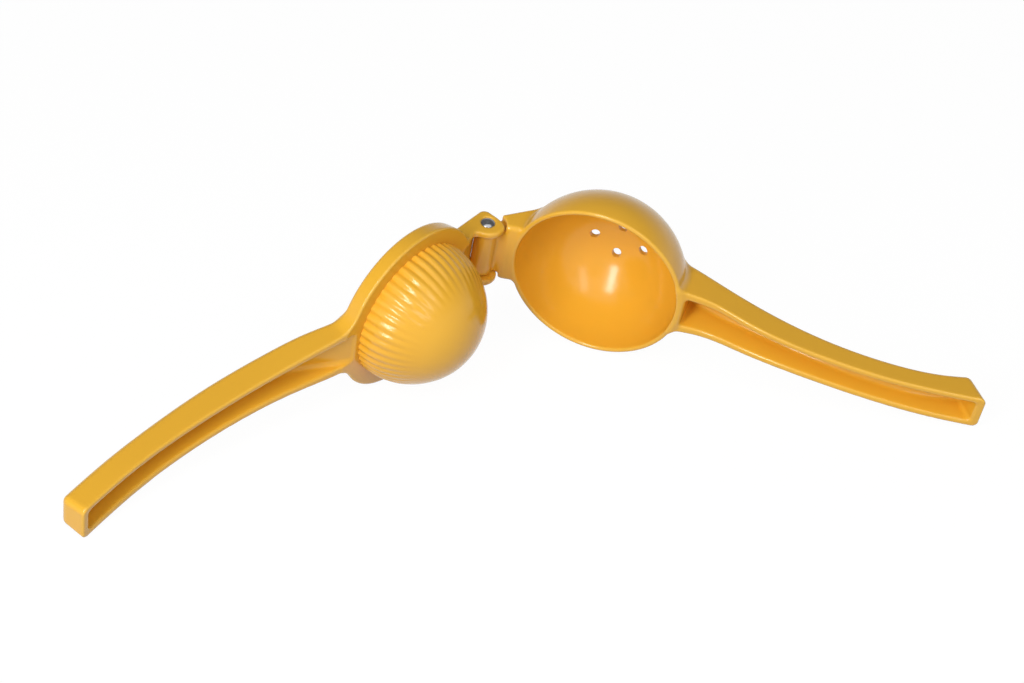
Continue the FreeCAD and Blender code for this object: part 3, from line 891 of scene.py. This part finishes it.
def piercing_tree(material: bpy.types.Material) -> bpy.types.NodeTree:
    """A tree that pierces a bowl with one hole at its middle and a ring of holes around it.

    Args:
        material: what covers the bowl.

    Returns:
        The tree.
    """
    drill_middle = (0, 36, 0)
    make = TreeMaker("pierce_bowl")
    radius = make.size("Hole radius")
    ring = make.size("Ring radius")
    count = make.size("Holes around", "NodeSocketInt")
    centre = make.size("Centre", "NodeSocketVector")
    reach = make.size("Reach")
    circle = make.node("GeometryNodeMeshCircle", {"Vertices": count, "Radius": ring})
    half_step = make.sum("DIVIDE", math.pi, count)
    turn = make.node("ShaderNodeCombineXYZ", {"Z": half_step})
    turned = make.node("GeometryNodeTransform", {
        "Geometry": circle.outputs[0], "Rotation": turn.outputs[0]})
    middle = make.node("GeometryNodeMeshLine", {"Count": 1})
    points = make.node("GeometryNodeJoinGeometry", {})
    make.tree.links.new(turned.outputs[0], points.inputs[0])
    make.tree.links.new(middle.outputs[0], points.inputs[0])
    drill = make.node("GeometryNodeMeshCylinder", {
        "Vertices": 72, "Radius": radius, "Depth": reach})
    drills = make.node("GeometryNodeInstanceOnPoints", {
        "Points": points.outputs[0], "Instance": drill.outputs[0]})
    real = make.node("GeometryNodeRealizeInstances", {0: drills.outputs[0]})
    aim = make.node("GeometryNodeTransform", {
        "Geometry": real.outputs[0], "Rotation": (math.pi / 2, 0, 0)})
    lift = make.node("ShaderNodeVectorMath", {0: centre, 1: drill_middle}, operation="ADD")
    placed = make.node("GeometryNodeTransform", {
        "Geometry": aim.outputs[0], "Translation": lift.outputs[0]})
    cut = make.node("GeometryNodeMeshBoolean", {}, operation="DIFFERENCE", solver="EXACT")
    make.tree.links.new(make.start.outputs["Geometry"], cut.inputs[0])
    make.tree.links.new(placed.outputs[0], cut.inputs[1])
    return make.finish(cut.outputs[0], material)


def ribbing_tree(material: bpy.types.Material) -> bpy.types.NodeTree:
    """A tree that makes a round skin with ribs that run up it and sink away.

    Args:
        material: what covers the skin.

    Returns:
        The tree.
    """
    make = TreeMaker("rib_dome")
    radius = make.size("Radius")
    ribs = make.size("Ribs", "NodeSocketInt")
    columns = make.size("Columns", "NodeSocketInt")
    rows = make.size("Rows", "NodeSocketInt")
    height = make.size("Rib height")
    skin = make.size("Skin")
    base = make.size("Base angle")
    reach = make.size("Reach")
    grid = make.node("GeometryNodeMeshGrid", {
        "Size X": 1.0, "Size Y": 2.0, "Vertices X": columns, "Vertices Y": rows})
    spot = make.node("GeometryNodeInputPosition", {})
    parts = make.node("ShaderNodeSeparateXYZ", {0: spot.outputs[0]})
    around = make.sum("ADD", parts.outputs[0], 0.5)
    climb = make.sum("ABSOLUTE", parts.outputs[1])
    span = make.sum("SUBTRACT", math.pi / 2, base)
    angle = make.sum("MULTIPLY_ADD", climb, span, base)
    outer = make.sum("GREATER_THAN", parts.outputs[1], -0.0001)
    thinner = make.sum("MULTIPLY", make.sum("SUBTRACT", 1.0, outer), skin)
    wave = make.sum("FRACT", make.sum("MULTIPLY", around, ribs))
    swing = make.sum("COSINE", make.sum("MULTIPLY_ADD", wave, 2 * math.pi, math.pi))
    round_top = make.sum("POWER", make.sum("MULTIPLY_ADD", swing, 0.5, 0.5), 0.8)
    fading = make.node("ShaderNodeMapRange", {
        "Value": angle, "From Min": base, "From Max": reach,
        "To Min": 1.0, "To Max": 0.0}, interpolation_type="SMOOTHSTEP")
    proud = make.sum("MULTIPLY", make.sum("MULTIPLY", round_top, height), fading.outputs[0])
    full = make.sum("SUBTRACT", make.sum("MULTIPLY_ADD", proud, outer, radius), thinner)
    turn = make.sum("MULTIPLY", around, -2 * math.pi)
    flat = make.sum("MULTIPLY", full, make.sum("COSINE", angle))
    place = make.node("ShaderNodeCombineXYZ", {
        "X": make.sum("MULTIPLY", flat, make.sum("COSINE", turn)),
        "Y": make.sum("MULTIPLY", full, make.sum("SINE", angle)),
        "Z": make.sum("MULTIPLY", flat, make.sum("SINE", turn))})
    bent = make.node("GeometryNodeSetPosition", {
        "Geometry": grid.outputs[0], "Position": place.outputs[0]})
    closed = make.node("GeometryNodeMergeByDistance", {
        "Geometry": bent.outputs[0], "Distance": 0.001})
    smooth = make.node("GeometryNodeSetShadeSmooth", {"Geometry": closed.outputs[0]})
    return make.finish(smooth.outputs[0], material)


def settle(piece: bpy.types.Object, tree: bpy.types.NodeTree, values: dict) -> None:
    """Runs a tree on a piece with some values and keeps the result as its plain mesh.

    Args:
        piece: the piece, whose mesh is replaced.
        tree: the tree of geometry nodes.
        values: named input to value.
    """
    modifier = piece.modifiers.new(tree.name, "NODES")
    modifier.node_group = tree
    for item in tree.interface.items_tree:
        if item.in_out == "INPUT" and item.name in values:
            modifier[item.identifier] = values[item.name]
    graph = bpy.context.evaluated_depsgraph_get()
    result = bpy.data.meshes.new_from_object(piece.evaluated_get(graph), depsgraph=graph)
    piece.modifiers.remove(modifier)
    old = piece.data
    name = old.name
    piece.data = result
    bpy.data.meshes.remove(old)
    result.name = name


# Finishes

class ShaderMaker(NodeMaker):
    """Writes a material's nodes."""

    def __init__(self, name: str) -> None:
        """Starts the material with its shader and output."""
        self.material = bpy.data.materials.new(name)
        self.material.use_nodes = True
        super().__init__(self.material.node_tree)
        self.tree.nodes.clear()
        self.out = self.tree.nodes.new("ShaderNodeOutputMaterial")
        self.shader = self.tree.nodes.new("ShaderNodeBsdfPrincipled")
        self.tree.links.new(self.shader.outputs[0], self.out.inputs[0])

    def noise(self, scale: float, detail: float = 2.0,
              roughness: float = 0.5) -> bpy.types.NodeSocket:
        """Noise on the piece's own metres."""
        place = self.node("ShaderNodeTexCoord", {})
        made = self.node("ShaderNodeTexNoise", {
            "Vector": place.outputs["Object"], "Scale": scale,
            "Detail": detail, "Roughness": roughness})
        return made.outputs["Fac"]

    def blend(self, share: bpy.types.NodeSocket, first, second) -> bpy.types.NodeSocket:
        """One colour turning into another.

        Args:
            share: how much of the second colour shows.
            first: a colour, or a socket that gives one.
            second: the same for the second colour.

        Returns:
            The socket of the mixed colour.
        """
        made = self.node("ShaderNodeMix", {0: share}, data_type="RGBA")
        for number, colour in ((6, first), (7, second)):
            if isinstance(colour, bpy.types.NodeSocket):
                self.tree.links.new(colour, made.inputs[number])
            else:
                made.inputs[number].default_value = (*colour, 1.0)
        return made.outputs[2]

    def measured(self, label: str) -> bpy.types.NodeSocket:
        """A value written on the mesh."""
        return self.node("ShaderNodeAttribute", {}, attribute_name=label).outputs["Fac"]


@dataclass(frozen=True)
class Enamel:
    """Glossy yellow enamel, with a painted highlight on edges and painted shade in hollows."""

    body: tuple[float, float, float] = (0.88, 0.465, 0.036)
    painted_edge_highlight: tuple[float, float, float] = (0.90, 0.53, 0.075)
    painted_shade: tuple[float, float, float] = (0.80, 0.38, 0.022)
    speck: tuple[float, float, float] = (0.45, 0.22, 0.03)

    def material(self) -> bpy.types.Material:
        """The enamel's material, made once."""
        name = "yellow_enamel"
        if name in bpy.data.materials:
            return bpy.data.materials[name]
        make = ShaderMaker(name)
        # Painted shade: hollows darker and more orange, in soft clouds.
        cloud = make.spread(make.noise(38.0, 3.0), 0.35, 0.65, 0.0, 1.0)
        painted_shade = make.sum("MULTIPLY", make.measured("hollow"), make.spread(cloud, 0, 1, 0.45, 0.85))
        # Painted highlight: edges lighter and more yellow, in patches.
        highlight_patches = make.spread(make.noise(900.0, 3.0), 0.3, 0.7, 0.35, 0.9)
        painted_edge_highlight = make.sum("MULTIPLY", make.measured("edge"), highlight_patches)
        colour = make.blend(painted_shade, self.body, self.painted_shade)
        colour = make.blend(painted_edge_highlight, colour, self.painted_edge_highlight)
        specks = make.spread(make.noise(1500.0, 1.0), 0.82, 0.86, 0.0, 0.3)
        colour = make.blend(specks, colour, self.speck)
        make.tree.links.new(colour, make.shader.inputs["Base Color"])
        gloss = make.spread(make.noise(160.0, 4.0, 0.6), 0.3, 0.7, 0.15, 0.22)
        make.tree.links.new(gloss, make.shader.inputs["Roughness"])
        make.shader.inputs["IOR"].default_value = 1.45
        make.shader.inputs["Coat Weight"].default_value = 0.05
        make.shader.inputs["Coat Roughness"].default_value = 0.06
        waves = make.node("ShaderNodeBump", {
            "Height": make.noise(95.0, 1.0), "Strength": 0.15, "Distance": 0.0005})
        peel = make.node("ShaderNodeBump", {
            "Height": make.noise(750.0, 2.0), "Strength": 0.16, "Distance": 0.00012,
            "Normal": waves.outputs[0]})
        make.tree.links.new(peel.outputs[0], make.shader.inputs["Normal"])
        return make.material


@dataclass(frozen=True)
class PolishedSteel:
    """Polished steel with faint stains and fine scratches."""

    light: tuple[float, float, float] = (0.56, 0.56, 0.57)
    dark: tuple[float, float, float] = (0.24, 0.23, 0.23)

    def material(self) -> bpy.types.Material:
        """The steel's material."""
        make = ShaderMaker("polished_pin_steel")
        stain = make.spread(make.noise(420.0, 4.0), 0.35, 0.7, 0.0, 0.6)
        colour = make.blend(stain, self.light, self.dark)
        make.tree.links.new(colour, make.shader.inputs["Base Color"])
        make.shader.inputs["Metallic"].default_value = 1.0
        gloss = make.spread(make.noise(1400.0, 3.0), 0.3, 0.7, 0.07, 0.17)
        make.tree.links.new(gloss, make.shader.inputs["Roughness"])
        scratch = make.node("ShaderNodeBump", {
            "Height": make.noise(2600.0, 2.0), "Strength": 0.12, "Distance": 0.00005})
        make.tree.links.new(scratch.outputs[0], make.shader.inputs["Normal"])
        return make.material


@dataclass(frozen=True)
class Softbox:
    """A soft rectangular lamp, by the direction it stands in and how large and bright it looks."""

    name: str
    azimuth: float
    elevation: float
    wide: float
    tall: float
    level: float
    distance: float = 1.2

    def build(self, target: Vector) -> None:
        """Hangs the lamp facing a target.

        Args:
            target: the place that it lights.
        """
        turn, lift = math.radians(self.azimuth), math.radians(self.elevation)
        level = math.cos(lift)
        away = Vector((math.sin(turn) * level, -math.cos(turn) * level, math.sin(lift)))
        data = bpy.data.lights.new(self.name, "AREA")
        data.shape = "RECTANGLE"
        data.size = 2 * self.distance * math.tan(math.radians(self.wide / 2))
        data.size_y = 2 * self.distance * math.tan(math.radians(self.tall / 2))
        data.energy = self.level * math.pi**2 * self.distance**2
        lamp = bpy.data.objects.new(self.name, data)
        bpy.context.scene.collection.objects.link(lamp)
        lamp.location = target + away * self.distance
        lamp.rotation_mode = "QUATERNION"
        lamp.rotation_quaternion = (-away).to_track_quat("-Z", "Y")


@dataclass
class Studio:
    """The pale floor, soft lamps, surrounding light and camera."""

    stance: Stance
    lens: float = 84.386
    sensor: float = 36.0
    near_clip: float = 0.05
    looks_along: tuple[float, float, float] = (-0.15004, 0.68568, -0.71227)
    looks_right: tuple[float, float, float] = (0.9279, 0.34636, 0.13797)
    camera_place: tuple[float, float, float] = (170.18, -689.47, 670.81)
    floor_reach: float = 2.5
    lit_height: float = 0.03
    wall_level: float = 0.45
    ceiling_level: float = 0.2
    floor_colour: float = 0.45
    floor_glow: float = 1.1
    floor_share: float = 0.88
    lamps: tuple[Softbox, ...] = (
        Softbox("key_softbox", -43.0, 24.0, 10.5, 38.0, 0.62),
        Softbox("strip_softbox", 3.0, 27.0, 11.0, 34.0, 0.10),
        Softbox("broad_softbox", -8.0, 52.0, 70.0, 55.0, 0.42),
    )

    def floor(self) -> None:
        """A pale floor that looks white to the camera and keeps the object's shadow."""
        reach = self.floor_reach
        corners = [(-reach, -reach, 0), (reach, -reach, 0), (reach, reach, 0), (-reach, reach, 0)]
        mesh = bpy.data.meshes.new("pale_floor")
        mesh.from_pydata(corners, [], [(0, 1, 2, 3)])
        floor = linked("pale_floor", mesh)
        make = ShaderMaker("pale_floor")
        make.tree.nodes.remove(make.shader)
        grey = (self.floor_colour, self.floor_colour, self.floor_colour, 1)
        diffuse = make.node("ShaderNodeBsdfDiffuse", {0: grey})
        glow = make.node("ShaderNodeEmission", {0: (1, 1, 1, 1), 1: self.floor_glow})
        share = make.sum("MULTIPLY", make.plainly_seen(), self.floor_share)
        mix = make.node("ShaderNodeMixShader", {
            0: share, 1: diffuse.outputs[0], 2: glow.outputs[0]})
        make.tree.links.new(mix.outputs[0], make.out.inputs[0])
        mesh.materials.append(make.material)

    def world(self) -> None:
        """White walls all round, under a darker ceiling."""
        world = bpy.data.worlds.new("studio_walls")
        world.use_nodes = True
        make = NodeMaker(world.node_tree)
        place = make.node("ShaderNodeTexCoord", {})
        parts = make.node("ShaderNodeSeparateXYZ", {0: place.outputs["Generated"]})
        fade = make.spread(parts.outputs[2], 0.1, 0.6, 1.0, self.ceiling_level)
        level = make.spread(make.plainly_seen(), 0.0, 1.0, self.wall_level, 1.0)
        background = make.tree.nodes["Background"]
        background.inputs[0].default_value = (1, 1, 1, 1)
        make.tree.links.new(make.sum("MULTIPLY", fade, level), background.inputs[1])
        bpy.context.scene.world = world

    def camera(self) -> None:
        """The camera at the photograph's angle, found from the outlines of both arms."""
        data = bpy.data.cameras.new("camera")
        data.lens = self.lens
        data.sensor_width = self.sensor
        data.clip_start = self.near_clip
        camera = bpy.data.objects.new("camera", data)
        bpy.context.scene.collection.objects.link(camera)
        arm = self.stance.cup()
        turn = arm.to_3x3() * (1 / MM)
        forward = (turn @ Vector(self.looks_along)).normalized()
        right = turn @ Vector(self.looks_right)
        right = (right - forward * right.dot(forward)).normalized()
        up = right.cross(forward)
        place = arm @ Vector(self.camera_place)
        basis = Matrix((right, up, -forward)).transposed().to_4x4()
        camera.matrix_world = Matrix.Translation(place) @ basis
        bpy.context.scene.camera = camera

    def build(self) -> None:
        """Sets up everything around the object."""
        self.floor()
        self.world()
        for lamp in self.lamps:
            lamp.build(Vector((0, 0, self.lit_height)))
        self.camera()
        bpy.context.scene.view_settings.view_transform = "Standard"


def main() -> None:
    """Builds the squeezer piece by piece and the studio around it."""
    logging.basicConfig(level=logging.INFO, format="%(name)s: %(message)s")
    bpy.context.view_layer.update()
    stance = Stance.from_joint(frame["joints"][0])
    sizes = Sizes()
    enamel = Enamel()
    pieces = [
        CupArm(sizes, stance.cup()).build(enamel),
        PressArm(sizes, stance.press()).build(enamel),
        RibbedDome(sizes, stance.press()).build(enamel),
        HingePin(sizes, stance.press()).build(PolishedSteel()),
    ]
    for piece in pieces:
        piece.data.calc_loop_triangles()
        LOG.info("%s: %d triangles", piece.name, len(piece.data.loop_triangles))
    Studio(stance=stance).build()


if __name__ == "__main__":
    main()
